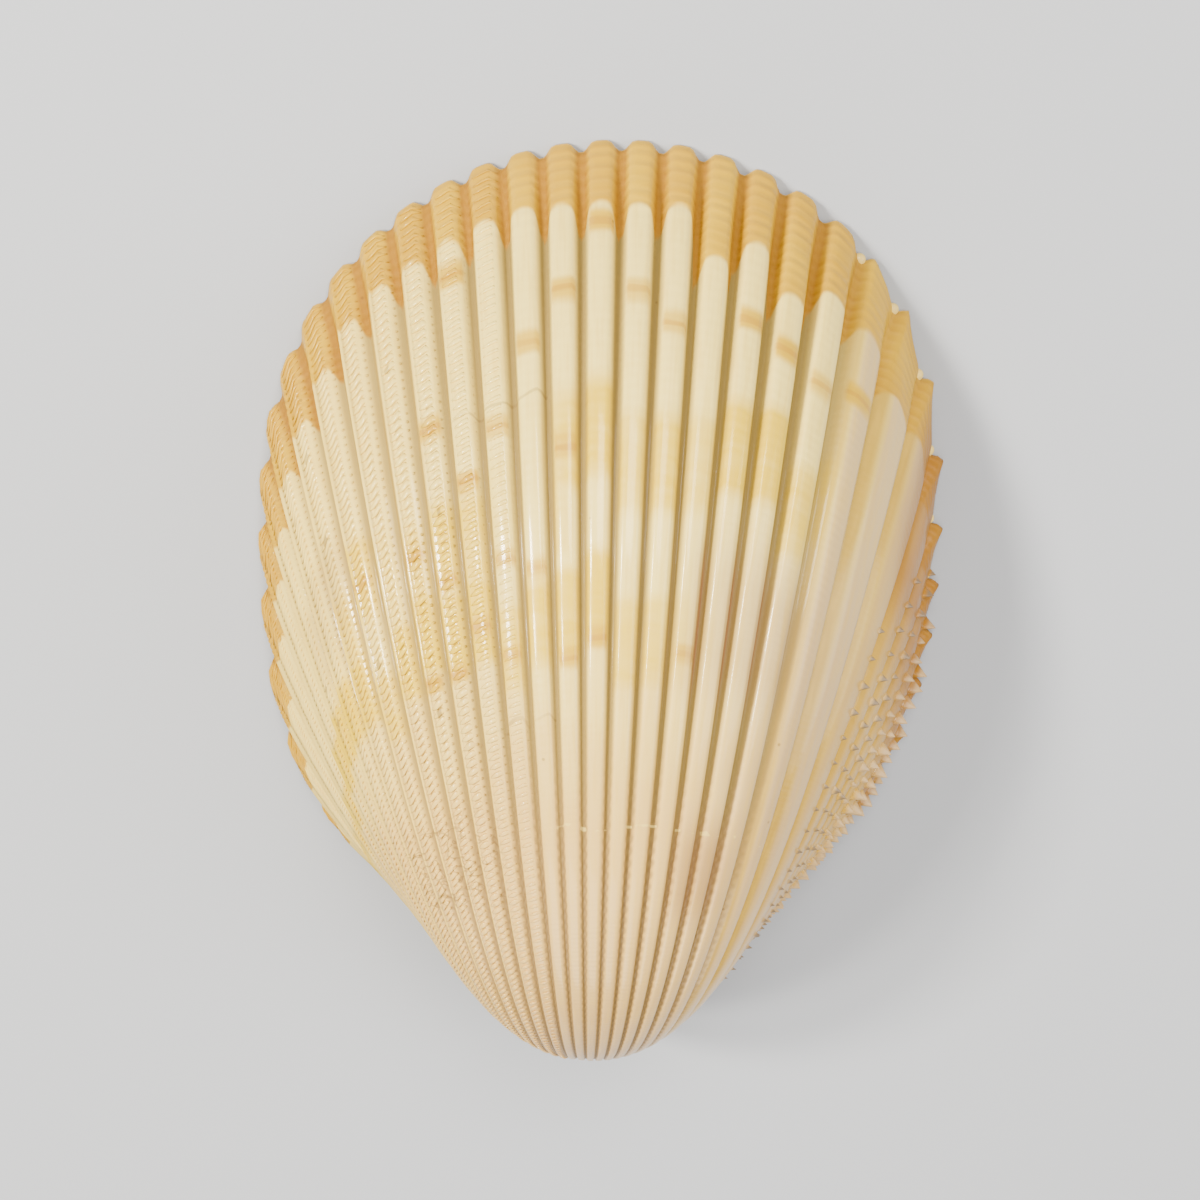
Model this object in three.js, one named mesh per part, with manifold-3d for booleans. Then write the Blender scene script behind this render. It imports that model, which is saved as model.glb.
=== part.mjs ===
// One valve of a tall ribbed cockle, lying hollow side down on its rim.
// Millimetres. Z = 0 is the plane of the rim, +Z points up out of the dome.
// The beak lies towards -Y, the free edge towards +Y, the scaly rear side towards +X.
import * as THREE from 'three';
import Module from 'manifold-3d';

// Rim outline: a polar curve round its own middle, angle 0 at the free edge,
// 90 degrees at the rear side, 180 degrees at the hinge.
const MIDDLE_X = 0.8;
const MIDDLE_Y = 33.0;
const MEAN_RADIUS = 28.64;
const EGG = 0.4;              // free edge a little fuller than the hinge edge
const STRETCH = 4.26;         // taller than wide
const LEAN = 0.57;            // rear shoulder higher than the front one
const SQUARE = -0.18;         // slightly squared flanks
const SQUARE_LEAN = 0.18;

// Growth: each earlier rim is a smaller copy, turned about the hinge axis (X).
const GROWTH = 0.537;         // shrink rate at the rim, per radian of turn
const GROWTH_RISE = 0.463;    // how fast that rate rises towards the beak
const BEAK_TURN = 2.75;       // turn at the tip of the beak, radians
const BEAK_ROUND = 0.4;       // stretch of turn that rounds off the tip

// Ribs: rib number as a smooth function of the rim angle.
const RIB_COUNT = 39;
const RIB_START = 11.293;
const RIB_SINES = [2.382, 0.835, 0.39, 0.085];     // crowding at the free edge
const RIB_COSINES = [-0.033, 0.138, 0.151, -0.133]; // front and rear differ
const RIB_RISE = 0.85;        // crest above groove at the rim
const RIB_RISE_REAR = 0.35;   // extra rise on the rear side

// Wall.
const WALL = 1.7;
const HINGE_PLATE = 3.6;      // extra wall under the beak
const HINGE_EDGE = 2.4;       // rim angle where the plate runs out, radians
const CAVITY_TURN = 1.9;      // turn at the deep end of the hollow
const CAVITY_ROUND = 0.75;
const LIP_FLUTE = 0.3;        // ribs felt on the inside of the lip
const FLUTE_FADE = 0.08;      // turn over which they die out

// Hinge teeth, in a pit in the plate under the beak.
const HINGE_Y = 3.3;
const PIT_HALF_SIZES = [5.2, 1.7, 1.5];
const TOOTH_BASE_RADIUS = 0.75;
const TOOTH_TIP_RADIUS = 0.3;
const TOOTH_HEIGHT = 1.5;
const TOOTH_SPACING = 3.0;
const TOOTH_SETBACK = 0.25;   // tips end this far inside the rim plane

// Where the skin is sampled: across one rib (0 is the groove), and in turns of growth.
const RIB_STATIONS = [0, 0.28, 0.72];
const OUTER_TURNS = [0, 0.09, 0.22, 0.38, 0.56, 0.75, 0.95, 1.15, 1.36, 1.57, 1.78, 1.98, 2.17,
  2.35, 2.5, 2.62, 2.71];
const INNER_TURNS = [0, 0.07, 0.2, 0.42, 0.68, 0.94, 1.15, 1.36, 1.56, 1.72, 1.83];

function rimRadius(a) {
  return MEAN_RADIUS + EGG * Math.cos(a) + STRETCH * Math.cos(2 * a) + LEAN * Math.sin(2 * a)
    + SQUARE * Math.cos(4 * a) + SQUARE_LEAN * Math.sin(4 * a);
}

function ribNumber(a) {
  let n = RIB_START + RIB_COUNT * a / (2 * Math.PI);
  for (let k = 1; k <= 4; k += 1) {
    n += RIB_SINES[k - 1] * Math.sin(k * a) + RIB_COSINES[k - 1] * Math.cos(k * a);
  }
  return n;
}

// Rim angle at which ribNumber reaches n, by halving.
function angleOfRib(n) {
  let low = -Math.PI;
  let high = Math.PI;
  for (let i = 0; i < 48; i += 1) {
    const mid = (low + high) / 2;
    if (ribNumber(mid) < n) {
      low = mid;
    } else {
      high = mid;
    }
  }
  return (low + high) / 2;
}

function shrink(turn) {
  return Math.exp(-(GROWTH * turn + 0.5 * GROWTH_RISE * turn * turn));
}

function smooth(low, high, x) {
  const t = Math.min(1, Math.max(0, (x - low) / (high - low)));
  return t * t * (3 - 2 * t);
}

// How close a rim angle is to the hinge: 1 at the hinge, 0 from 42 degrees off.
function hingeNearness(a) {
  return smooth(Math.cos(HINGE_EDGE), -1, Math.cos(a));
}

function roundOff(turn, end, length) {
  const t = Math.max(0, (turn - (end - length)) / length);
  return Math.sqrt(Math.max(0, 1 - t * t));
}

// A point at distance r from the middle of the rim, carried back by growth.
function grown(a, r, turn) {
  const s = shrink(turn);
  const x = MIDDLE_X + r * Math.sin(a);
  const y = MIDDLE_Y + r * Math.cos(a);
  return [x * s, y * Math.cos(turn) * s, y * Math.sin(turn) * s];
}

// Ribs stand out of the mean surface: flat tops between narrower grooves.
function ribOffset(a, station) {
  const rear = Math.max(0, Math.sin(a));
  const rise = (RIB_RISE + RIB_RISE_REAR * rear) * (1 - hingeNearness(a));
  return station === 0 ? -0.5 * rise : 0.5 * rise;
}

function outerPoint(column, turn) {
  const r = rimRadius(column.angle) + ribOffset(column.angle, column.station);
  return grown(column.angle, r * roundOff(turn, BEAK_TURN, BEAK_ROUND), turn);
}

function innerPoint(column, turn) {
  const a = column.angle;
  const wall = (WALL + HINGE_PLATE * hingeNearness(a)) / shrink(turn);
  const flute = (column.station === 0 ? -1 : 1) * LIP_FLUTE * (1 - hingeNearness(a));
  const r = rimRadius(a) - wall + flute * Math.exp(-turn / FLUTE_FADE);
  return grown(a, r * roundOff(turn, CAVITY_TURN, CAVITY_ROUND), turn);
}

function ribColumns() {
  const columns = [];
  const first = Math.ceil(ribNumber(-Math.PI));
  for (let i = 0; i < RIB_COUNT; i += 1) {
    for (const station of RIB_STATIONS) {
      columns.push({ angle: angleOfRib(first + i + station), station });
    }
  }
  return columns;
}

// The wall as one closed skin: outside, flat lip, inside, with both ends rounded shut.
function valveGeometry() {
  const columns = ribColumns();
  const count = columns.length;
  const rows = [];
  const outerTip = grown(0, 0, BEAK_TURN);
  const innerTip = grown(0, 0, CAVITY_TURN);
  for (let i = OUTER_TURNS.length - 1; i >= 0; i -= 1) {
    rows.push(columns.map((column) => outerPoint(column, OUTER_TURNS[i])));
  }
  for (const turn of INNER_TURNS) {
    rows.push(columns.map((column) => innerPoint(column, turn)));
  }
  const positions = [...outerTip, ...innerTip, ...rows.flat(2)];
  const at = (row, column) => 2 + row * count + (column % count);
  const index = [];
  const last = rows.length - 1;
  for (let c = 0; c < count; c += 1) {
    index.push(0, at(0, c + 1), at(0, c));
    index.push(1, at(last, c), at(last, c + 1));
  }
  for (let r = 0; r < last; r += 1) {
    for (let c = 0; c < count; c += 1) {
      index.push(at(r, c), at(r, c + 1), at(r + 1, c));
      index.push(at(r, c + 1), at(r + 1, c + 1), at(r + 1, c));
    }
  }
  const geometry = new THREE.BufferGeometry();
  geometry.setAttribute('position', new THREE.Float32BufferAttribute(positions, 3));
  geometry.setIndex(index);
  return geometry;
}

const wasm = await Module();
wasm.setup();

// Merge the vertices of a three.js geometry by position and hand it to manifold.
function toManifold(geometry) {
  const position = geometry.getAttribute('position');
  const source = geometry.index ? geometry.index.array : null;
  const total = source ? source.length : position.count;
  const seen = new Map();
  const vertices = [];
  const triangles = [];
  const corner = (i) => {
    const v = source ? source[i] : i;
    const point = [position.getX(v), position.getY(v), position.getZ(v)];
    const key = point.map((value) => Math.round(value * 1e4)).join(',');
    if (!seen.has(key)) {
      seen.set(key, vertices.length / 3);
      vertices.push(...point);
    }
    return seen.get(key);
  };
  for (let i = 0; i < total; i += 3) {
    const [p, q, r] = [corner(i), corner(i + 1), corner(i + 2)];
    if (p !== q && q !== r && r !== p) {
      triangles.push(p, q, r);
    }
  }
  const vertProperties = new Float32Array(vertices);
  const triVerts = new Uint32Array(triangles);
  return new wasm.Manifold(new wasm.Mesh({ numProp: 3, vertProperties, triVerts }));
}

function toGeometry(manifold) {
  const mesh = manifold.getMesh();
  const stride = mesh.numProp;
  const positions = [];
  for (let i = 0; i < mesh.vertProperties.length; i += stride) {
    positions.push(...mesh.vertProperties.slice(i, i + 3));
  }
  const geometry = new THREE.BufferGeometry();
  geometry.setAttribute('position', new THREE.Float32BufferAttribute(positions, 3));
  geometry.setIndex(Array.from(mesh.triVerts));
  geometry.computeVertexNormals();
  return geometry;
}

// The pit in the hinge plate that takes the other valve's teeth.
function hingePit() {
  const pit = new THREE.SphereGeometry(1, 20, 12);
  pit.scale(...PIT_HALF_SIZES);
  pit.translate(0, HINGE_Y, 0);
  return pit;
}

// A blunt cone that stands in the pit and ends just short of the rim plane.
function hingeTooth(x) {
  const tooth = new THREE.CylinderGeometry(TOOTH_TIP_RADIUS, TOOTH_BASE_RADIUS, TOOTH_HEIGHT, 10);
  tooth.rotateX(-Math.PI / 2);
  tooth.translate(x, HINGE_Y, TOOTH_SETBACK + TOOTH_HEIGHT / 2);
  return tooth;
}

const body = toManifold(valveGeometry())
  .subtract(toManifold(hingePit()))
  .add(toManifold(hingeTooth(-TOOTH_SPACING / 2)))
  .add(toManifold(hingeTooth(TOOTH_SPACING / 2)));

const shellMaterial = new THREE.MeshStandardMaterial({
  color: 0xe8dcbc,
  roughness: 0.35,
  metalness: 0,
});

const valve = new THREE.Mesh(toGeometry(body), shellMaterial);
valve.name = 'valve';

// The part's origin is in the rim plane, under the middle of the valve.
const extent = new THREE.Box3().setFromObject(valve);
valve.position.x = -(extent.min.x + extent.max.x) / 2;
valve.position.y = -(extent.min.y + extent.max.y) / 2;

const cockleShell = new THREE.Group();
cockleShell.name = 'cockle_shell';
cockleShell.add(valve);

export default cockleShell;
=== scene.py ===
import math

import bpy
import mathutils
import numpy as np
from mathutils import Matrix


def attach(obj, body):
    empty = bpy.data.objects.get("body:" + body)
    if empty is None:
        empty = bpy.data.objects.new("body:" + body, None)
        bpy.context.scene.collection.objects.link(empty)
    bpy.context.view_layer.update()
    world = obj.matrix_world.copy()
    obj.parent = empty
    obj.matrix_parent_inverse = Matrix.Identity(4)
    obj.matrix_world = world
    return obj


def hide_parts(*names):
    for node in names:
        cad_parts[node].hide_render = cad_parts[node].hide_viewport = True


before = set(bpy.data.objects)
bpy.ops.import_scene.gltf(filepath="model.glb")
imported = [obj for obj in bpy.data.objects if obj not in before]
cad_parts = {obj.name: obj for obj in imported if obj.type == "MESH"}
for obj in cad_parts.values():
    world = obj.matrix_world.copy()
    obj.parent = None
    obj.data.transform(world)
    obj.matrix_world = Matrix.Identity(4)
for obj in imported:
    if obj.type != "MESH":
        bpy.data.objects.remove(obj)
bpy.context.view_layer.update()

# ---------------------------------------------------------------------------
# Camera, floor and light.
# A long lens looks down on the back of the valve from the side of its free
# edge, 30 degrees off the vertical. A pale matt floor runs out of view.
# ---------------------------------------------------------------------------
MM = 0.001
TILT = math.radians(30)
DISTANCE = 414.05 * MM
FIELD = 84.93 * MM            # width of the view at the aim point
AIM = np.array([0.045, 3.42, 9.37]) * MM
towards = np.array([0.0, math.sin(TILT), math.cos(TILT)])

camera_data = bpy.data.cameras.new("camera")
camera_data.angle = 2 * math.atan(FIELD / 2 / DISTANCE)
camera = bpy.data.objects.new("camera", camera_data)
camera.location = AIM + towards * DISTANCE
camera.rotation_euler = (-TILT, 0, 0)
bpy.context.scene.collection.objects.link(camera)
bpy.context.scene.camera = camera

FLOOR_HALF = 3.0              # metres
floor_mesh = bpy.data.meshes.new("floor")
floor_mesh.from_pydata(
    [(-FLOOR_HALF, -FLOOR_HALF, 0), (FLOOR_HALF, -FLOOR_HALF, 0),
     (FLOOR_HALF, FLOOR_HALF, 0), (-FLOOR_HALF, FLOOR_HALF, 0)], [], [(0, 1, 2, 3)])
floor = bpy.data.objects.new("floor", floor_mesh)
bpy.context.scene.collection.objects.link(floor)
floor_paint = bpy.data.materials.new("floor_paint")
floor_paint.use_nodes = True
floor_shader = floor_paint.node_tree.nodes["Principled BSDF"]
floor_shader.inputs["Base Color"].default_value = (0.40, 0.43, 0.49, 1)
floor_shader.inputs["Roughness"].default_value = 0.85
floor_mesh.materials.append(floor_paint)


def soft_light(name, place, aim, size, watts, colour):
    """A square area light of a size at place, turned towards aim, all in mm."""
    data = bpy.data.lights.new(name, "AREA")
    data.size = size * MM
    data.energy = watts
    data.color = colour
    lamp = bpy.data.objects.new(name, data)
    place = np.array(place) * MM
    direction = np.array(aim) * MM - place
    lamp.location = place
    lamp.rotation_euler = mathutils.Vector(direction).to_track_quat("-Z", "Y").to_euler()
    bpy.context.scene.collection.objects.link(lamp)


soft_light("key", (-270, 160, 315), (0, 0, 10), 60, 3.0, (1.0, 0.92, 0.78))
soft_light("key_low", (-262, 60, 335), (0, 0, 10), 60, 1.7, (1.0, 0.92, 0.78))
soft_light("top", (60, 330, 420), (0, 0, 10), 220, 3.4, (1.0, 0.92, 0.80))
soft_light("fill", (330, 20, 260), (0, 0, 10), 300, 1.5, (1.0, 0.94, 0.84))
soft_light("back", (-60, -330, 240), (0, 0, 10), 260, 1.1, (1.0, 0.94, 0.84))

sky = bpy.data.worlds.new("studio")
sky.use_nodes = True
sky.node_tree.nodes["Background"].inputs["Color"].default_value = (1.0, 0.96, 0.90, 1)
sky.node_tree.nodes["Background"].inputs["Strength"].default_value = 0.32
bpy.context.scene.world = sky

# ---------------------------------------------------------------------------
# The valve: one piece of layered aragonite, grown rim by rim from the beak.
# Each earlier rim is a smaller copy of the present one, turned about the hinge
# line. About 39 ribs radiate from the beak and end in the teeth of the edge.
# ---------------------------------------------------------------------------
MIDDLE = (0.8, 33.0)
MEAN_RADIUS = 28.64
RIM_COSINES = (0.4, 4.26, 0.0, -0.18)
RIM_SINES = (0.0, 0.57, 0.0, 0.18)
GROWTH = 0.537
GROWTH_RISE = 0.463
BEAK_TURN = 2.75
BEAK_ROUND = 0.4

RIBS = 39
RIB_START = 11.293
RIB_COSINES = (-0.033, 0.138, 0.151, -0.133)
RIB_SINES = (2.382, 0.835, 0.39, 0.085)
FIRST_RIB = -8                # the ribs are numbered from here, at the hinge

RIB_RISE = 0.85
RIB_RISE_REAR = 0.45
RIB_RISE_FRONT = 0.15
WALL = 1.7
HINGE_PLATE = 3.6
CAVITY_TURN = 1.9
CAVITY_ROUND = 0.75

full_turn = 2 * math.pi


def smooth(low, high, x):
    """0 below low, 1 above high, and the cubic 3t^2 - 2t^3 between."""
    t = np.clip((x - low) / (high - low), 0, 1)
    return t * t * (3 - 2 * t)


def rim_radius(angle):
    """The rim's distance from its middle: a mean radius plus four cosine and sine waves."""
    radius = MEAN_RADIUS + 0 * angle
    for k, (c, s) in enumerate(zip(RIM_COSINES, RIM_SINES), 1):
        radius = radius + c * np.cos(k * angle) + s * np.sin(k * angle)
    return radius


def rib_number(angle):
    """The running number of the rib at a rim angle: RIBS per turn, crowded or spread by four waves."""
    number = RIB_START + RIBS * angle / full_turn
    for k, (c, s) in enumerate(zip(RIB_COSINES, RIB_SINES), 1):
        number = number + c * np.cos(k * angle) + s * np.sin(k * angle)
    return number


angle_samples = np.linspace(-1.1 * math.pi, 1.1 * math.pi, 4001)
number_samples = rib_number(angle_samples)


def rib_angle(number):
    """The rim angle at which rib_number reaches number: the same curve read backwards."""
    return np.interp(number, number_samples, angle_samples)


def shrink(turn):
    """The size of an earlier rim: exp(-(g*turn + h*turn^2/2)), 1 at the present rim."""
    return np.exp(-(GROWTH * turn + 0.5 * GROWTH_RISE * turn ** 2))


def grown(angle, radius, turn):
    """A point at angle and radius in the rim plane, shrunk and turned back about the hinge line."""
    size = shrink(turn)
    x = MIDDLE[0] + radius * np.sin(angle)
    y = MIDDLE[1] + radius * np.cos(angle)
    return np.stack([x * size, y * np.cos(turn) * size, y * np.sin(turn) * size], -1)


HINGE_EDGE = 2.4              # rim angle at which the hinge side begins, radians


def hinge_nearness(angle):
    """1 at the hinge, falling to 0 at HINGE_EDGE from the free edge."""
    return smooth(math.cos(HINGE_EDGE), -1, np.cos(angle))


def hashed(number):
    """A fixed pseudo-random value from 0 to 1 for each whole number: the fraction of a large sine."""
    return np.mod(np.sin(number * 12.9898 + 4.1) * 43758.5453, 1.0)


def front_share(number):
    """1 on the beaded front ribs, falling to 0 at rib 9."""
    return 1 - smooth(4.0, 9.0, number)


def rear_share(number):
    """0 on the middle ribs, rising to 1 on the leaning ribs of the rear."""
    return smooth(17.2, 19.6, number)


def ridge_place(number):
    """Where the left shoulder of a rib stands, in parts of a rib: 0.24, and 0.37 on the front."""
    return 0.24 + 0.13 * front_share(np.floor(number))


def rib_profile(number, turn):
    """Height of the surface across the ribs, 0 in a groove and 1 on a crest.

    u is the place across one rib. Middle ribs are flat-topped between two smooth walls. Front ribs
    climb a smooth flank to a sharp ridge, drop a little to a flat top, and slope down from there.
    Rear ribs climb gently and drop sharply on their rear side. At the rim the tops are rounded, and
    the rear ones end in hooks.
    """
    rib = np.floor(number)
    u = number - rib
    front = front_share(number)
    rear = rear_share(number)
    at_rim = np.exp(-turn / 0.05)
    arch = (2 * u - 1) ** 2
    steps = np.cos(full_turn * (70 * turn + 0.35 * arch + hashed(rib))) * smooth(0.004, 0.014, turn)
    steps = steps * (1 - smooth(0.07, 0.13, turn))

    middle = smooth(0.07, 0.24, u) * (1 - smooth(0.78, 0.95, u)) * (1 - 1.3 * (u - 0.5) ** 2)
    rounded = smooth(0.03, 0.33, u) * (1 - smooth(0.68, 0.97, u)) * (1 - 0.6 * (u - 0.5) ** 2)
    middle = middle + at_rim * (rounded - middle) + 0.035 * steps * rounded

    ridge_at = ridge_place(number)
    ridge = np.exp(-((u - ridge_at) / 0.035) ** 2)
    plateau = smooth(ridge_at - 0.04, ridge_at + 0.02, u) * (1 - smooth(0.78, 0.98, u))
    slope = smooth(0.04, 1, u / ridge_at) * (1 - smooth(ridge_at, ridge_at + 0.04, u))
    beaded = np.maximum(slope, 0.80 * plateau) + 0.18 * ridge
    beaded = beaded + at_rim * (0.75 * rounded - beaded) + 0.03 * steps

    leaning = smooth(0.0, 0.55, u) * (0.86 + 0.14 * u) * (1 - smooth(0.90, 0.985, u))
    hook = smooth(0.06, 0.26, u) * np.exp(-np.maximum(0, u - 0.26) / 0.30) * 1.25
    leaning = leaning + at_rim * (hook - leaning)
    return front * beaded + (1 - front) * (rear * leaning + (1 - rear) * middle)


def rib_rise(angle):
    """Crest above groove at the rim, in mm: more on the rear side, none at the hinge."""
    side = np.sin(angle)
    rise = RIB_RISE + RIB_RISE_REAR * np.maximum(0, side) + RIB_RISE_FRONT * np.maximum(0, -side)
    return rise * (1 - hinge_nearness(angle))


def groove_depth(turn):
    """Factor on the rib relief: less at the rim than behind it."""
    return 0.62 + 0.73 * smooth(0.0, 0.08, turn)


def round_off(turn, end, length):
    """A quarter of an ellipse that closes the surface at turn = end."""
    t = np.clip((turn - (end - length)) / length, 0, 1)
    return np.sqrt(1 - t ** 2)


LIP_ROUND = 0.4               # radius of the outer corner of the lip
LIP_ROUND_TURN = 0.016
SCALLOP = 0.3                 # how far the lip rises between two ribs
SCALLOP_FADE = 0.03


def scallop_turn(angle, profile, turn):
    """The turn by which a groove's end stands back from the rim plane, dying out with growth."""
    y = MIDDLE[1] + rim_radius(angle) * np.cos(angle)
    lift = SCALLOP * np.maximum(0, 1 - profile) * (1 - hinge_nearness(angle)) / np.maximum(y, 8)
    return lift * np.exp(-turn / SCALLOP_FADE)


def outer_point(number, turn):
    """The outside: rim radius plus rib relief, rounded inwards at the lip and closed at the beak."""
    angle = rib_angle(number)
    profile = rib_profile(number, turn)
    radius = rim_radius(angle) + rib_rise(angle) * (0.5 + groove_depth(turn) * (profile - 1))
    corner = np.clip(1 - turn / LIP_ROUND_TURN, 0, 1)
    radius = radius - LIP_ROUND * (1 - np.sqrt(1 - corner ** 2))
    return grown(angle, radius * round_off(turn, BEAK_TURN, BEAK_ROUND),
                 turn + scallop_turn(angle, profile, turn))


INNER_FLUTE_FADE = 0.07


def inner_point(number, turn):
    """The inside: the rim radius less the wall, fluted near the lip and closed under the beak."""
    angle = rib_angle(number)
    profile = rib_profile(number, 0 * turn)
    near = hinge_nearness(angle)
    wall = (WALL + HINGE_PLATE * near) / shrink(turn)
    flute = rib_rise(angle) * (profile - 0.5) * np.exp(-turn / INNER_FLUTE_FADE)
    radius = rim_radius(angle) - wall + flute
    return grown(angle, radius * round_off(turn, CAVITY_TURN, CAVITY_ROUND),
                 turn + scallop_turn(angle, profile, turn))


# The skin is sampled on a grid of rib number by turn, closer where a rib bends sharply.
ACROSS_FRONT = np.array([0, 0.08, 0.16, 0.24, 0.30, 0.335, 0.37, 0.41, 0.50, 0.60, 0.70, 0.80, 0.90])
ACROSS_MIDDLE = np.array([0, 0.05, 0.09, 0.13, 0.17, 0.21, 0.27, 0.38, 0.52, 0.66, 0.76, 0.85, 0.94])
ACROSS_REAR = np.array([0, 0.10, 0.18, 0.26, 0.34, 0.44, 0.55, 0.66, 0.78, 0.87, 0.91, 0.945, 0.98])
ROWS = 160
INNER_ROWS = 22
LIP_ROWS = 4

ribs = np.arange(FIRST_RIB, FIRST_RIB + RIBS)[:, None].astype(float)
across = ACROSS_MIDDLE + front_share(ribs) * (ACROSS_FRONT - ACROSS_MIDDLE)
across = across + rear_share(ribs) * (ACROSS_REAR - ACROSS_MIDDLE)
columns = (ribs + across).ravel()
column_count = len(columns)

turn_samples = np.linspace(0, BEAK_TURN, 2001)
row_density = shrink(turn_samples) * (1 + 4.0 * np.exp(-turn_samples / 0.06))
row_place = np.concatenate([[0], np.cumsum(row_density[1:] * np.diff(turn_samples))])
outer_turns = np.interp(np.linspace(0, row_place[-1], ROWS + 1)[:-1], row_place, turn_samples)
inner_turns = np.linspace(0, 1, INNER_ROWS) ** 1.7 * (CAVITY_TURN - 0.03)
share = np.arange(1, LIP_ROWS) / LIP_ROWS

number_out, turn_out = np.meshgrid(columns, outer_turns, indexing="ij")
number_in, turn_in = np.meshgrid(columns, inner_turns, indexing="ij")
outside = outer_point(number_out, turn_out)
inside_wall = inner_point(number_in, turn_in)
lip = outside[:, :1] * (1 - share[:, None]) + inside_wall[:, :1] * share[:, None]

# One strip per column, from the beak over the outside, round the lip and up the inside.
sheet = np.concatenate([outside[:, ::-1], lip, inside_wall], 1)
sheet_number = np.broadcast_to(columns[:, None], sheet.shape[:2])
sheet_turn = np.concatenate([turn_out[:, ::-1], np.zeros((column_count, LIP_ROWS - 1)), turn_in], 1)
lip_inside = np.maximum(share, hinge_nearness(rib_angle(columns))[:, None])
sheet_inside = np.concatenate([0 * turn_out, lip_inside, 1 + 0 * turn_in], 1)
point_index = np.arange(sheet_number.size).reshape(sheet_number.shape)
looped = np.concatenate([point_index, point_index[:1]])
quads = np.stack([looped[:-1, :-1], looped[1:, :-1], looped[1:, 1:], looped[:-1, 1:]], -1).reshape(-1, 4)
beak_pole, hollow_pole = point_index.size, point_index.size + 1
poles = np.concatenate([grown(0.0, 0.0, BEAK_TURN)[None], grown(0.0, 0.0, CAVITY_TURN)[None]])
triangles = np.concatenate([
    np.stack([looped[1:, 0], looped[:-1, 0], np.full(column_count, beak_pole)], -1),
    np.stack([looped[:-1, -1], looped[1:, -1], np.full(column_count, hollow_pole)], -1)])

# Each pole takes the rib number of the middle of the free edge.
MIDDLE_RIB = 11.0
numbers = np.concatenate([sheet_number.ravel(), [MIDDLE_RIB, MIDDLE_RIB]])
turns = np.concatenate([sheet_turn.ravel(), [BEAK_TURN, CAVITY_TURN]])
insides = np.concatenate([sheet_inside.ravel(), [0.0, 1.0]])

# The formulas start at the hinge line, and the frame at the middle of the valve's box.
SHIFT = np.array([0.9147, 31.3225, 0])
points = (np.concatenate([sheet.reshape(-1, 3), poles]) - SHIFT) * MM

# The turns at which single ribs paused and took a yellow-brown mark, and how much further the newest
# band of colour reaches on some ribs than on the others.
MARKS = {3: (0.37,), 5: (0.55, 0.39), 6: (0.262, 0.436, 0.55), 7: (0.11, 0.336, 0.503),
         8: (0.289, 0.433, 0.545), 9: (0.21, 0.45), 10: (0.324, 0.558, 0.161), 11: (0.536, 0.092),
         12: (0.165,), 13: (0.195,), 14: (0.55,), 15: (0.17,), 16: (0.183,), 17: (0.194,), 18: (0.167,)}
BAND_END = 0.070
BAND_WIDER = 0.045            # how much wider the band is on the front ribs
LATER = {12: 0.006, 14: 0.049, 15: 0.016, 16: 0.048, 17: 0.020, 18: 0.014, 19: 0.036}


def rib_values(number):
    """What holds for a whole rib: the turns of its marks (-1 for none) and the end of its newest band."""
    rib = np.floor(number)
    values = {name: np.full(len(rib), -1.0) for name in ("mark_1", "mark_2", "mark_3")}
    for marked, marked_turns in MARKS.items():
        for name, marked_turn in zip(values, marked_turns):
            values[name][rib == marked] = marked_turn
    end = BAND_END + BAND_WIDER * (1 - smooth(1.0, 6.0, number))
    for late, later in LATER.items():
        end = end + later * (rib == late)
    return {**values, "band_end": end}


mesh = bpy.data.meshes.new("valve_shell")
mesh.from_pydata(points.tolist(), [], quads.tolist() + triangles.tolist())
mesh.validate()
corner_vertex = np.empty(len(mesh.loops), np.int32)
mesh.loops.foreach_get("vertex_index", corner_vertex)

# Where the last rib meets the first, a face's lower numbers are carried on past the last.
number_at = numbers[corner_vertex]
face_of = np.concatenate([np.repeat(np.arange(len(quads)), 4),
                          len(quads) + np.repeat(np.arange(len(triangles)), 3)])
face_low = np.full(len(quads) + len(triangles), np.inf)
face_high = np.full(len(quads) + len(triangles), -np.inf)
np.minimum.at(face_low, face_of, number_at)
np.maximum.at(face_high, face_of, number_at)
wraps = (face_high - face_low > RIBS / 2)[face_of] & (number_at < MIDDLE_RIB)
number_at = number_at + RIBS * wraps
for name, values in (("rib", number_at), ("turn", turns[corner_vertex]),
                     ("inside", insides[corner_vertex]), *rib_values(number_at).items()):
    mesh.attributes.new(name, "FLOAT", "CORNER").data.foreach_set("value", values.astype(np.float32))
mesh.shade_smooth()
valve = bpy.data.objects.new("valve_shell", mesh)
bpy.context.scene.collection.objects.link(valve)


class Value:
    """A number in a shader. Arithmetic on it adds Math nodes to the same material."""

    def __init__(self, tree, socket):
        self.tree = tree
        self.socket = socket

    def maths(self, operation, first, second=0.0):
        return node(self.tree, "ShaderNodeMath", {"operation": operation}, {0: first, 1: second})

    def __add__(self, other):
        return self.maths("ADD", self, other)

    def __radd__(self, other):
        return self.maths("ADD", other, self)

    def __sub__(self, other):
        return self.maths("SUBTRACT", self, other)

    def __rsub__(self, other):
        return self.maths("SUBTRACT", other, self)

    def __mul__(self, other):
        return self.maths("MULTIPLY", self, other)

    def __rmul__(self, other):
        return self.maths("MULTIPLY", other, self)

    def floor(self):
        return self.maths("FLOOR", self)

    def cos(self):
        return self.maths("COSINE", self)

    def size(self):
        return self.maths("ABSOLUTE", self)

    def at_least(self, other):
        return self.maths("MAXIMUM", self, other)

    def at_most(self, other):
        return self.maths("MINIMUM", self, other)

    def step(self, low, high):
        """0 below low and 1 above high, smooth between."""
        return node(self.tree, "ShaderNodeMapRange", {"interpolation_type": "SMOOTHSTEP"},
                    {0: self, 1: low, 2: high})

    def bump(self, centre, half_width, soft):
        """1 within half_width of centre, falling to 0 over soft on each side."""
        return 1 - (self - centre).size().step(half_width, half_width + soft)


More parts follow.
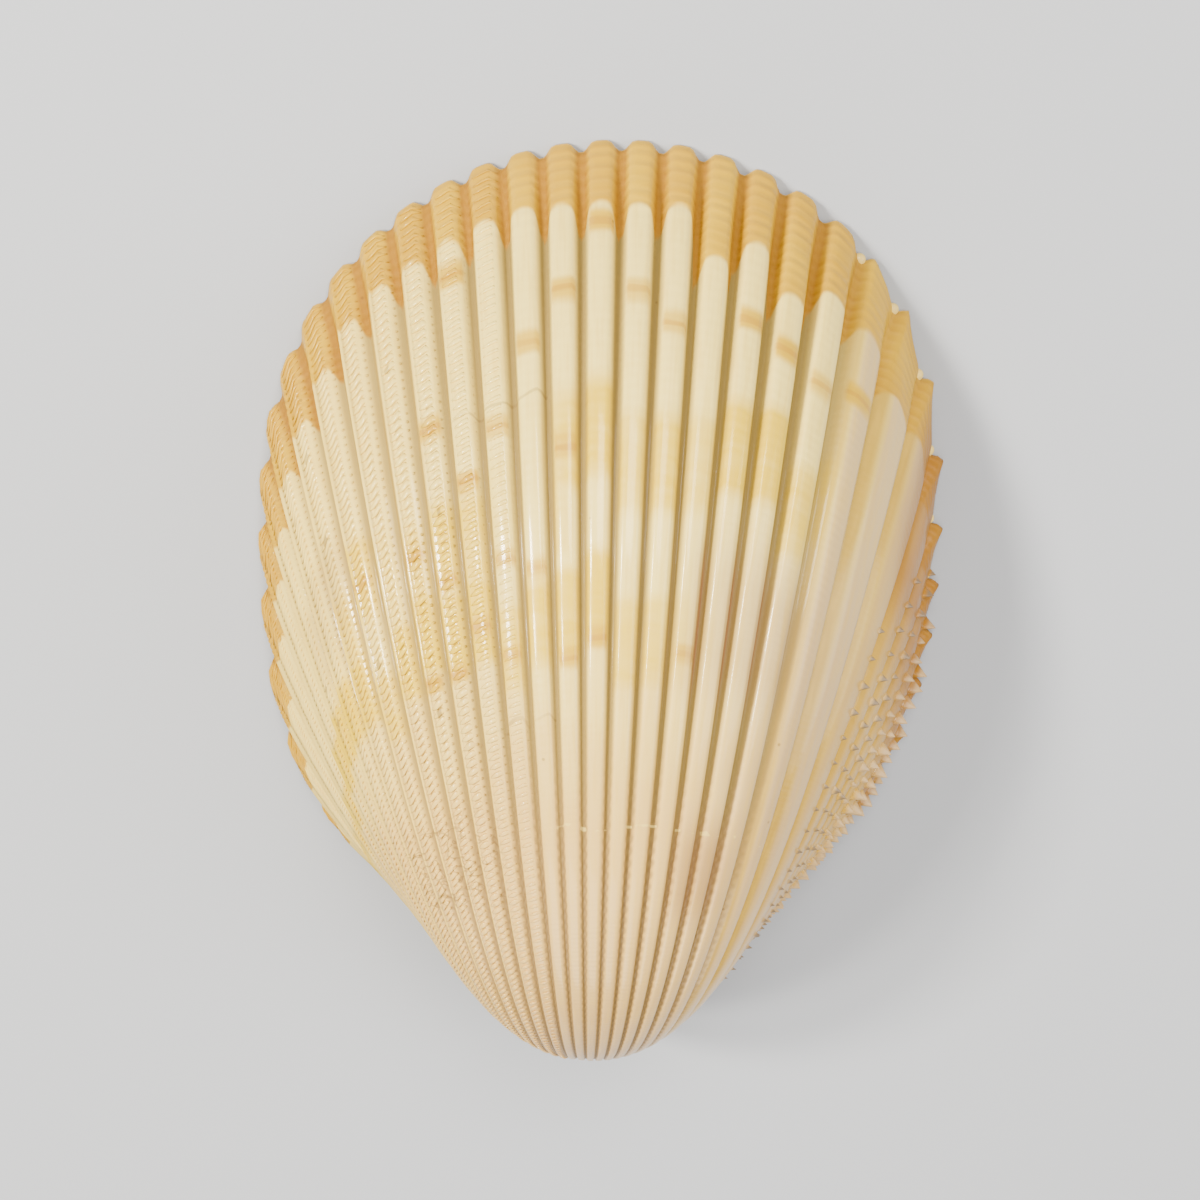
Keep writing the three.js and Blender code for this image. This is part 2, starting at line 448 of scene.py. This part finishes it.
def node(tree, kind, settings, sockets, output=0):
    """Adds one node: its settings first, then the values or links of its sockets. Gives one output."""
    made = tree.nodes.new(kind)
    for name, value in settings.items():
        setattr(made, name, value)
    for name, value in sockets.items():
        if isinstance(value, Value):
            tree.links.new(value.socket, made.inputs[name])
        else:
            made.inputs[name].default_value = value
    return Value(tree, made.outputs[output])


def mix(factor, first, second):
    """first where factor is 0, second where it is 1."""
    return node(factor.tree, "ShaderNodeMix", {"data_type": "RGBA"}, {0: factor, 6: first, 7: second}, 2)


WHITE = (0.90, 0.71, 0.19, 1)
IVORY = (0.72, 0.48, 0.07, 1)
BEIGE = (0.74, 0.49, 0.15, 1)
BEAK = (0.50, 0.31, 0.11, 1)
PALE_YELLOW = (0.74, 0.50, 0.0, 1)
MARGIN = (0.55, 0.31, 0.0, 1)
MARGIN_DARK = (0.31, 0.14, 0.0, 1)
ORANGE = (0.29, 0.105, 0.0, 1)
GROOVE = (0.26, 0.18, 0.04, 1)
GROOVE_SHADE = (0.15, 0.095, 0.015, 1)
GROOVE_PALE = (0.36, 0.22, 0.08, 1)
PINK_BROWN = (0.24, 0.10, 0.035, 1)
BROWN = (0.10, 0.045, 0.012, 1)
MARK_YELLOW = (0.62, 0.38, 0.0, 1)
SPOT = (0.50, 0.26, 0.004, 1)
INSIDE = (0.84, 0.66, 0.28, 1)
PINK_WHITE = (0.56, 0.38, 0.18, 1)
FLANK_YELLOW = (0.50, 0.30, 0.01, 1)
TIP_GREY = (0.15, 0.11, 0.07, 1)
PALE_EDGE = (0.80, 0.52, 0.12, 1)
RIDGE_HIGHLIGHT = (0.88, 0.66, 0.16, 1)

shell = bpy.data.materials.new("shell")
shell.use_nodes = True
tree = shell.node_tree
mesh.materials.append(shell)


def attribute(name):
    """A number stored on the mesh."""
    return node(tree, "ShaderNodeAttribute", {"attribute_name": name}, {}, "Fac")


def noise(vector, scale, detail):
    """Soft noise around 0.5, with more fine levels for more detail."""
    return node(tree, "ShaderNodeTexNoise", {}, {"Vector": vector, "Scale": scale, "Detail": detail})


rib = attribute("rib")
turn = attribute("turn")
inside = attribute("inside")
rib_index = rib.floor()
u = rib - rib_index
chance = node(tree, "ShaderNodeTexWhiteNoise", {"noise_dimensions": "1D"}, {"W": rib_index + 0.5})
chance_two = node(tree, "ShaderNodeTexWhiteNoise", {"noise_dimensions": "1D"}, {"W": rib_index + 70.5})
where = node(tree, "ShaderNodeTexCoord", {}, {}, "Object")
growth_place = node(tree, "ShaderNodeCombineXYZ", {}, {0: rib * 0.6, 1: turn * 60.0, 2: 0.0})
cloud_place = node(tree, "ShaderNodeCombineXYZ", {}, {0: rib * 0.35, 1: turn * 9.0, 2: rib_index * 3.7})
streaks = noise(growth_place, 1.0, 1.0)
cloud = noise(cloud_place, 1.0, 1.0)
grain = noise(where, 900.0, 1.0)

front = 1 - rib.step(4.0, 9.0)
rear = rib.step(20.0, 21.0)
leaning = rib.step(17.6, 18.6)
shoulder = 0.24 + 0.13 * (1 - rib_index.step(4.0, 9.0))
arch = (u * 2.0 - 1.0) * (u * 2.0 - 1.0)
comb = (turn * 380.0 - turn * turn * 50.0 + chance * 6.0).cos()
old = turn.step(0.62, 0.9)
zigzag = comb * 0.03 * old
groove_left = 1 - (u + zigzag).step(0.09, 0.22)
groove_right = (u - zigzag).step(0.80, 0.94) * (1 - leaning)
groove = (groove_left * (1 - 0.6 * leaning) + groove_right).at_most(1.0)

# Old shell towards the beak is beige, the last third white, the newest edge orange-yellow.
aged = (turn + (cloud - 0.5) * 0.25).step(0.45, 0.80)
ground = mix(aged, WHITE, BEIGE)
ground = mix(turn.step(0.8, 1.5), ground, BEAK)
flank = front * (1 - (u - shoulder).step(-0.04, 0.02))
ground = mix(flank * 0.85, ground, IVORY)
# Painted highlight: a thin bright cream line along the sharp ridge of each front rib, where the light catches
# it.
ground = mix(front * (u - shoulder).bump(-0.005, 0.012, 0.02) * 0.6, ground, RIDGE_HIGHLIGHT)
ground = mix(front * 0.25, ground, IVORY)
ground = mix(rib.step(13.5, 18.5) * turn.step(0.28, 0.50) * 0.6, ground, PINK_WHITE)
ground = mix(leaning * u.step(0.32, 0.46) * (1 - turn.step(0.7, 1.0)) * 0.8, ground, PINK_WHITE)
ground = mix(leaning * (1 - u.step(0.28, 0.46)) * 0.85, ground, FLANK_YELLOW)
stagger = (chance - 0.5) * 0.05
band_one = (turn + stagger).bump(0.325, 0.035, 0.030) * rib.step(9.2, 11.0)
band_one = band_one * (1 - rib.step(18.0, 18.4)) * (0.6 + 0.6 * chance_two)
band_two = (turn + stagger * 1.4).bump(0.515, 0.035, 0.030) * (1 - rib.step(13.0, 15.5))
band_two = band_two * (0.7 + 0.5 * chance)
band_three = (turn - stagger).bump(0.385, 0.035, 0.030) * rib.bump(6.0, 4.0, 1.0) * chance_two
bands = band_one.at_least(band_two).at_least(band_three) * (0.5 + 0.9 * streaks)
ground = mix(bands.at_most(1.0), ground, PALE_YELLOW)
blush = turn.bump(0.50, 0.03, 0.10) * rib.bump(16.2, 1.2, 1.4) * (0.35 + 0.65 * u.step(0.55, 0.95))
blush_two = turn.bump(0.86, 0.03, 0.10) * rib.bump(16.2, 0.6, 1.0) * 0.5
blush_three = turn.bump(0.33, 0.04, 0.05) * rib.bump(1.8, 0.9, 0.6) * 0.5 * cloud
blush = blush.at_least(blush_two).at_least(blush_three)
fibre_place = node(tree, "ShaderNodeCombineXYZ", {}, {0: rib * 9.0, 1: turn * 16.0, 2: 0.0})
fibres = noise(fibre_place, 1.0, 1.0)
ground = mix(fibres.step(0.40, 0.72) * 0.30, ground, IVORY)

# Small yellow-brown marks where single ribs paused, each a thin line in a paler patch.
wavy_turn = turn + (streaks - 0.5) * 0.012 + arch * 0.003
away = (wavy_turn - attribute("mark_1")).size()
away = away.at_most((wavy_turn - attribute("mark_2")).size())
away = away.at_most((wavy_turn - attribute("mark_3")).size())
core = (1 - away.step(0.0016, 0.0050)) * (0.5 + 0.5 * chance_two)
halo = 1 - away.step(0.006, 0.018)
on_top = u.bump(0.53, 0.27, 0.10)
ground = mix(halo * on_top * (0.6 + 0.4 * chance), ground, MARK_YELLOW)
ground = mix(core * on_top * 0.8, ground, SPOT)

groove_paint = mix(old * 0.6 + front * 0.15, GROOVE, GROOVE_PALE)
groove_paint = mix((comb * 0.5 + 0.5) * old * 0.5, groove_paint, BROWN)
surface = mix(groove * (0.95 - 0.25 * front), ground, groove_paint)
# Painted shade: the bottom of each groove, except on the leaning rear ribs, is darkened as if in shadow.
groove_floor_shade = (1 - u.step(0.0, 0.13) + u.step(0.88, 0.98)).at_most(1.0) * (1 - leaning)
surface = mix(groove_floor_shade * (0.45 - 0.15 * front), surface, GROOVE_SHADE)
surface = mix(blush * 0.8, surface, PINK_BROWN)
# Painted shadow: a thin brown line just behind each front rib's ridge, where the ridge shades the small drop
# to the beaded top.
surface = mix(front * (u - shoulder).bump(0.045, 0.012, 0.022) * 0.30, surface, BROWN)
# Painted shade: a dark brown line at the foot of the sharp rear drop of each leaning rib.
rear_step_shade = (u.bump(0.985, 0.02, 0.02) + (1 - u.step(0.0, 0.03))).at_most(1.0)
surface = mix(leaning * rear_step_shade * 0.7, surface, BROWN)

# The newest shell: a band of orange-yellow that ends sharply, a little differently on each rib.
edge = attribute("band_end") + (chance_two - 0.5) * 0.008
newest = 1 - (turn - edge - arch * 0.014 - groove * 0.012 + (streaks - 0.5) * 0.008).step(-0.004, 0.004)
rings = ((turn * 560.0 + arch * 2.2 + (cloud - 0.5) * 9.0).cos() * 0.5 + 0.5) * (0.4 + 0.6 * streaks)
margin_paint = mix((groove * 0.95 + (rings - 0.35).at_least(0.0) * 0.5).at_most(1.0), MARGIN, MARGIN_DARK)
margin_paint = mix(cloud.step(0.45, 0.75) * 0.35 * (1 - groove), margin_paint, PALE_YELLOW)
surface = mix(newest, surface, margin_paint)
surface = mix((1 - turn.step(0.001, 0.006)) * 0.6, surface, PALE_EDGE)

# The scaly rear is orange-yellow over its whole length, deepest near the edge.
deep = 1 - (turn + (cloud - 0.5) * 0.1).step(0.10, 0.38)
rear_paint = mix(deep, MARGIN, ORANGE)
rear_paint = mix(turn.step(0.55, 1.0), rear_paint, BEAK)
rear_paint = mix(u.step(0.45, 0.80) * (1 - deep) * cloud.step(0.4, 0.7) * 0.5, rear_paint, PINK_WHITE)
surface = mix(rear * (0.95 - 0.25 * cloud), surface, rear_paint)

# Cracks, scratches and specks of dirt.
wander = noise(where, 260.0, 2.0)
fine_wander = noise(where, 1100.0, 1.0)
line_one = (turn - 0.300 + rib * 0.0042 + (wander - 0.5) * 0.03).bump(0.0, 0.0006, 0.0018)
line_one = line_one * rib.bump(9.6, 2.2, 0.4)
line_two = (turn - 0.690 + rib * 0.0065 + (wander - 0.5) * 0.05).bump(0.0, 0.0008, 0.0022)
line_two = line_two * rib.bump(7.6, 2.6, 0.4)
crackle = (wander.bump(0.5, 0.004, 0.010) + fine_wander.bump(0.62, 0.01, 0.02)) * rib.bump(4.6, 2.2, 1.0)
crackle = crackle * turn.bump(0.83, 0.06, 0.05)
stroke_row = turn * 17.0 + chance * 5.0
stroke_cell = stroke_row.floor()
cell = node(tree, "ShaderNodeCombineXYZ", {}, {0: rib_index + 0.5, 1: stroke_cell + 0.5, 2: 0.5})
luck = node(tree, "ShaderNodeTexWhiteNoise", {}, {"Vector": cell})
slope = stroke_row - stroke_cell - 0.3 - luck * 0.4 + (u - 0.6) * 0.45
stroke = slope.bump(0.0, 0.010, 0.016) * (u - luck * 0.15).bump(0.50, 0.07, 0.03) * luck.step(0.45, 0.5)
stroke = stroke * rib.bump(3.4, 3.4, 0.4) * turn.bump(0.36, 0.24, 0.04)
speck = 1 - node(tree, "ShaderNodeTexVoronoi", {}, {"Vector": where, "Scale": 260.0}).step(0.022, 0.038)
cracks = line_one.at_least(line_two) * cloud.step(0.35, 0.65) * 0.7
dirt = cracks.at_least(crackle * 0.8).at_least(stroke).at_least(speck * 0.8) * (1 - inside)
surface = mix(dirt.at_most(1.0) * 0.55, surface, BROWN)
chips = (turn - 0.785 + (wander - 0.5) * 0.04).bump(0.0, 0.0015, 0.002) * rib.bump(14.5, 4.5, 0.5)
chips = chips * fine_wander.step(0.50, 0.56)
surface = mix(chips * 0.5, surface, WHITE)

inner_paint = mix((1 - turn.step(0.02, 0.10)) * 0.6, INSIDE, PALE_YELLOW)
surface = mix(inside.step(0.55, 0.9), surface, inner_paint)
tip_paint = mix(rib.step(22.5, 24.5), TIP_GREY, PINK_WHITE)
surface = mix(attribute("tip").step(0.25, 0.60) * 0.85, surface, tip_paint)

height = grain * 0.15 + streaks * 0.35 + rings * (0.25 + 0.5 * newest) * (1 - inside)
relief = node(tree, "ShaderNodeBump", {}, {"Strength": 0.3, "Distance": 0.0002, "Height": height}, "Normal")
principled = tree.nodes["Principled BSDF"]
principled.inputs["Specular IOR Level"].default_value = 0.3
principled.inputs["Coat Roughness"].default_value = 0.12
principled.inputs["Coat IOR"].default_value = 1.5
tree.links.new(surface.socket, principled.inputs["Base Color"])
tree.links.new(relief.socket, principled.inputs["Normal"])
roughness = 0.40 + 0.25 * groove + 0.1 * grain
tree.links.new(roughness.socket, principled.inputs["Roughness"])
gloss = (0.55 - 0.4 * groove) * (0.5 + 0.5 * (1 - newest)) * (1 - dirt.at_most(1.0))
tree.links.new(gloss.socket, principled.inputs["Coat Weight"])
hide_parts("valve")
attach(valve, "root")

# ---------------------------------------------------------------------------
# Scales: thin pointed plates of the same shell, grown out of the crests of the
# rear ribs. They lean towards the rear and the free edge.
# ---------------------------------------------------------------------------
SCALE_RIBS = range(20, 30)
SCALE_CREST = 0.82            # place across the rib
SCALE_PITCH = 0.046           # turn from one scale to the next
SCALE_FIRST = 0.02
SCALE_LAST = 1.15
SCALE_SIZES = (0.52, 0.19, 0.95)   # half width along the rib, half thickness, length, in mm
SCALE_LEAN = (0.80, 0.60, 0.40)   # outwards, to the rear and to the edge
SCALE_ROOT = 0.25             # how far the foot is sunk, in mm
SCALE_CLEARANCE = 0.05        # scales that would come nearer to the floor are left out, in mm
SCALE_RINGS = 4
SCALE_SIDES = 8


def unit(vectors):
    """Each vector divided by its length."""
    return vectors / np.linalg.norm(vectors, axis=-1, keepdims=True)


def surface_axes(number, turn):
    """A point of the outside with unit vectors outwards, to the rear and to the edge, from small steps."""
    small = 1e-3
    here = outer_point(number, turn)
    edgewards = unit(outer_point(number, turn - small) - here)
    angle = rib_angle(number)
    next_angle = rib_angle(number + small)
    rearwards = unit(grown(next_angle, rim_radius(next_angle), turn) - grown(angle, rim_radius(angle), turn))
    outwards = unit(np.cross(rearwards, edgewards))
    return here, outwards, rearwards, edgewards


def add_piece(name, vertices, faces, number_values, turn_values, inside_value, tip_values):
    """A smooth mesh object in the shell material, with the attributes that the material reads."""
    data = bpy.data.meshes.new(name)
    data.from_pydata(((vertices - SHIFT) * MM).tolist(), [], faces.tolist())
    for key, values in (("rib", number_values), ("turn", turn_values), ("tip", tip_values),
                        ("inside", np.full(len(vertices), inside_value)), *rib_values(number_values).items()):
        data.attributes.new(key, "FLOAT", "POINT").data.foreach_set("value", values.astype(np.float32))
    data.shade_smooth()
    data.materials.append(shell)
    piece = bpy.data.objects.new(name, data)
    bpy.context.scene.collection.objects.link(piece)
    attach(piece, "root")


def ring_faces(copies, rings, sides):
    """Triangles of many closed tubes of rings by sides, each with a foot point and a tip point."""
    per = rings * sides + 2
    i, j = np.meshgrid(np.arange(rings - 1), np.arange(sides), indexing="ij")
    a = (i * sides + j).ravel()
    b = (i * sides + (j + 1) % sides).ravel()
    wall = np.concatenate([np.stack([a, b, b + sides], -1), np.stack([a, b + sides, a + sides], -1)])
    j = np.arange(sides)
    foot = np.stack([np.full(sides, per - 2), (j + 1) % sides, j], -1)
    top = (rings - 1) * sides
    tips = np.stack([np.full(sides, per - 1), top + j, top + (j + 1) % sides], -1)
    one = np.concatenate([wall, foot, tips])
    return (one[None] + per * np.arange(copies)[:, None, None]).reshape(-1, 3)


scale_number, scale_turn = np.meshgrid(np.array(SCALE_RIBS) + SCALE_CREST,
                                       np.arange(SCALE_FIRST, SCALE_LAST, SCALE_PITCH), indexing="ij")
scale_turn = scale_turn + SCALE_PITCH * hashed(np.floor(scale_number) + 31)

# The first scaly ribs carry their scales only away from the edge.
keep = scale_turn > 0.38 - 0.16 * (scale_number - 20.4)
scale_number, scale_turn = scale_number[keep], scale_turn[keep]
here, outwards, rearwards, edgewards = surface_axes(scale_number, scale_turn)
level = np.linspace(0, 0.92, SCALE_RINGS)
round_angle = np.linspace(0, full_turn, SCALE_SIDES, endpoint=False)
size = shrink(scale_turn) ** 0.6 * (0.8 + 0.4 * hashed(scale_number * 7 + scale_turn * 91))
size = (size * (1 + 0.35 * smooth(23, 26, scale_number)))[:, None, None, None]
taper = (1 - level)[None, :, None, None]
rise = (level * SCALE_SIZES[2])[None, :, None, None]
axis = (SCALE_LEAN[0] * outwards + SCALE_LEAN[1] * rearwards + SCALE_LEAN[2] * edgewards)[:, None, None]
foot = (here - SCALE_ROOT * outwards)[:, None, None]
along = (SCALE_SIZES[0] * np.cos(round_angle))[None, None, :, None] * edgewards[:, None, None]
thick = -(SCALE_SIZES[1] * np.sin(round_angle))[None, None, :, None] * rearwards[:, None, None]
body = foot + size * ((SCALE_ROOT * 0.5 + rise) * axis + taper * (along + thick))
foot_point = foot[:, 0, 0]
tip_point = foot_point + size[:, 0, 0] * (SCALE_ROOT * 0.5 + SCALE_SIZES[2]) * axis[:, 0, 0]
ends = np.stack([foot_point, tip_point], 1)
vertices = np.concatenate([body.reshape(len(scale_number), -1, 3), ends], 1)
clear = vertices[..., 2].min(1) > SCALE_CLEARANCE
vertices, scale_number, scale_turn = vertices[clear], scale_number[clear], scale_turn[clear]
count = len(vertices)
per_scale = vertices.shape[1]
tip_level = np.concatenate([np.repeat(level, SCALE_SIDES), [0.0, 1.0]])
add_piece("rear_scales", vertices.reshape(-1, 3), ring_faces(count, SCALE_RINGS, SCALE_SIDES),
          np.repeat(scale_number, per_scale), np.repeat(scale_turn, per_scale), 0.0,
          np.tile(tip_level, count))

# ---------------------------------------------------------------------------
# Beads: small slanting cords of the same shell across the flat tops of the
# front ribs, laid down one after another in step with growth.
# ---------------------------------------------------------------------------
BEAD_RIBS = range(-6, 9)
BEADS_PER_RADIAN = 112
BEAD_LAST = 1.7
BEAD_FROM, BEAD_TO = 0.03, 0.88   # from just right of the shoulder to this place on the rib
BEAD_RISE = 0.15              # half height of a bead, in mm
BEAD_LIFT = 0.06              # how far its middle line stands off the rib, in mm
BEAD_STATIONS = 4
BEAD_SIDES = 6

bead_samples = np.concatenate(
    [[0], np.cumsum(BEADS_PER_RADIAN * shrink(turn_samples[1:]) ** 0.7 * np.diff(turn_samples))])
bead_total = int(np.interp(BEAD_LAST, turn_samples, bead_samples))
bead_rib, bead_order = np.meshgrid(np.array(BEAD_RIBS, float), np.arange(1, bead_total), indexing="ij")
bead_rib, bead_order = bead_rib.ravel(), bead_order.ravel()
bead_turn = np.interp(bead_order + hashed(bead_rib), bead_samples, turn_samples)
pitch = 1 / (BEADS_PER_RADIAN * shrink(bead_turn) ** 0.7)
slant = 0.8 + 2.2 * (1 - smooth(1.0, 7.0, bead_rib))
station = np.linspace(0, 1, BEAD_STATIONS)
bead_start = ridge_place(bead_rib + 0.5) + BEAD_FROM
bead_u = bead_start[:, None] + (BEAD_TO - bead_start)[:, None] * station
bead_number = bead_rib[:, None] + bead_u
bead_path = np.maximum(bead_turn[:, None] - (slant * pitch)[:, None] * (bead_u - 0.5), 0.012)
here, outwards, rearwards, edgewards = surface_axes(bead_number, bead_path)
fade = (1 - smooth(5.5, 9.0, bead_rib))[:, None] * (0.5 + 0.5 * smooth(0.05, 0.12, bead_path))
swell = np.sqrt(1 - (2 * station - 1) ** 2 * 0.93) * (0.35 + 0.65 * fade)
swell = swell * (0.85 + 0.3 * hashed(bead_order))[:, None]
span = np.linalg.norm(outer_point(bead_number, bead_path + pitch[:, None]) - here, axis=-1)
half_width = (0.46 * span * swell)[:, :, None, None]
rise = (BEAD_RISE * shrink(bead_path) ** 0.5 * swell)[:, :, None, None]
section = np.linspace(0, full_turn, BEAD_SIDES, endpoint=False)[None, None, :, None]
middle_line = here + BEAD_LIFT * outwards
body = middle_line[:, :, None] + half_width * np.cos(section) * edgewards[:, :, None]
body = body + rise * np.sin(section) * outwards[:, :, None]
ends = middle_line[:, [0, -1]]
count = len(bead_rib)
vertices = np.concatenate([body.reshape(count, -1, 3), ends], 1)
bead_numbers = np.concatenate([np.repeat(bead_number, BEAD_SIDES, 1), bead_number[:, [0, -1]]], 1)
bead_turns = np.concatenate([np.repeat(bead_path, BEAD_SIDES, 1), bead_path[:, [0, -1]]], 1)
add_piece("rib_beads", vertices.reshape(-1, 3), ring_faces(count, BEAD_STATIONS, BEAD_SIDES),
          bead_numbers.ravel(), bead_turns.ravel(), 0.0, np.zeros(bead_numbers.size))

# ---------------------------------------------------------------------------
# Hinge teeth and edge pegs: blunt knobs of the same shell. Two short teeth stand
# on the inner edge of the hinge plate with a long one on each side of them, and
# small pegs show in the notches of the rear edge.
# ---------------------------------------------------------------------------
KNOB_RINGS = 10
KNOB_SIDES = 18


def knobs(centres, halves, turns_flat):
    """Ellipsoids: centre + half sizes times the unit sphere, turned about the vertical."""
    centres, halves, turns_flat = (np.asarray(v, float) for v in (centres, halves, turns_flat))
    polar = np.linspace(0, math.pi, KNOB_RINGS + 2)[1:-1]
    around_it = np.linspace(0, full_turn, KNOB_SIDES, endpoint=False)
    p, a = np.meshgrid(polar, around_it, indexing="ij")
    ball = np.stack([np.sin(p) * np.cos(a), np.sin(p) * np.sin(a), -np.cos(p)], -1).reshape(-1, 3)
    ball = np.concatenate([ball, [[0, 0, -1], [0, 0, 1]]])
    shape = ball[None] * halves[:, None]
    c, s = np.cos(turns_flat)[:, None], np.sin(turns_flat)[:, None]
    x = c * shape[..., 0] - s * shape[..., 1]
    y = s * shape[..., 0] + c * shape[..., 1]
    return centres[:, None] + np.stack([x, y, shape[..., 2]], -1)


def add_knobs(name, centres, halves, turns_flat, number, turn, inside_value):
    """One mesh of knobs that all take their colour from the same rib number and turn."""
    shapes = knobs(centres, halves, turns_flat)
    flat = shapes.reshape(-1, 3)
    add_piece(name, flat, ring_faces(len(shapes), KNOB_RINGS, KNOB_SIDES), np.full(len(flat), number),
              np.full(len(flat), turn), inside_value, np.zeros(len(flat)))


KNOB_RIB = 11.5               # the rib whose colours the knobs take

TOOTH_PLACES = [(-1.5, 6.0, 0.95), (1.7, 6.0, 1.0), (-8.6, 7.5, 0.75), (9.6, 7.5, 0.75)]
TOOTH_HALVES = [(0.8, 0.8, 0.95), (0.7, 0.7, 0.9), (2.4, 0.5, 0.6), (2.8, 0.5, 0.6)]
TOOTH_TURNS = [0.0, 0.0, -0.32, 0.32]
add_knobs("hinge_teeth", TOOTH_PLACES, TOOTH_HALVES, TOOTH_TURNS, KNOB_RIB, 0.2, 1.0)

PEG_GROOVES = range(18, 24)
PEG_OFFSET = 0.04             # just past the middle of the groove, in parts of a rib
PEG_INSET = 0.62              # from the rim line to the peg's middle, in mm
PEG_HEIGHT = 0.42             # of its middle above the floor, in mm
PEG_HALVES = (0.5, 0.55, 0.38)
peg_number = np.array(PEG_GROOVES) + PEG_OFFSET
peg_angle = rib_angle(peg_number)
peg_place = grown(peg_angle, rim_radius(peg_angle) - PEG_INSET, np.zeros(len(peg_number)))
peg_place[:, 2] = PEG_HEIGHT
add_knobs("edge_pegs", peg_place, [PEG_HALVES] * len(peg_number), -peg_angle, KNOB_RIB, 0.05, 1.0)
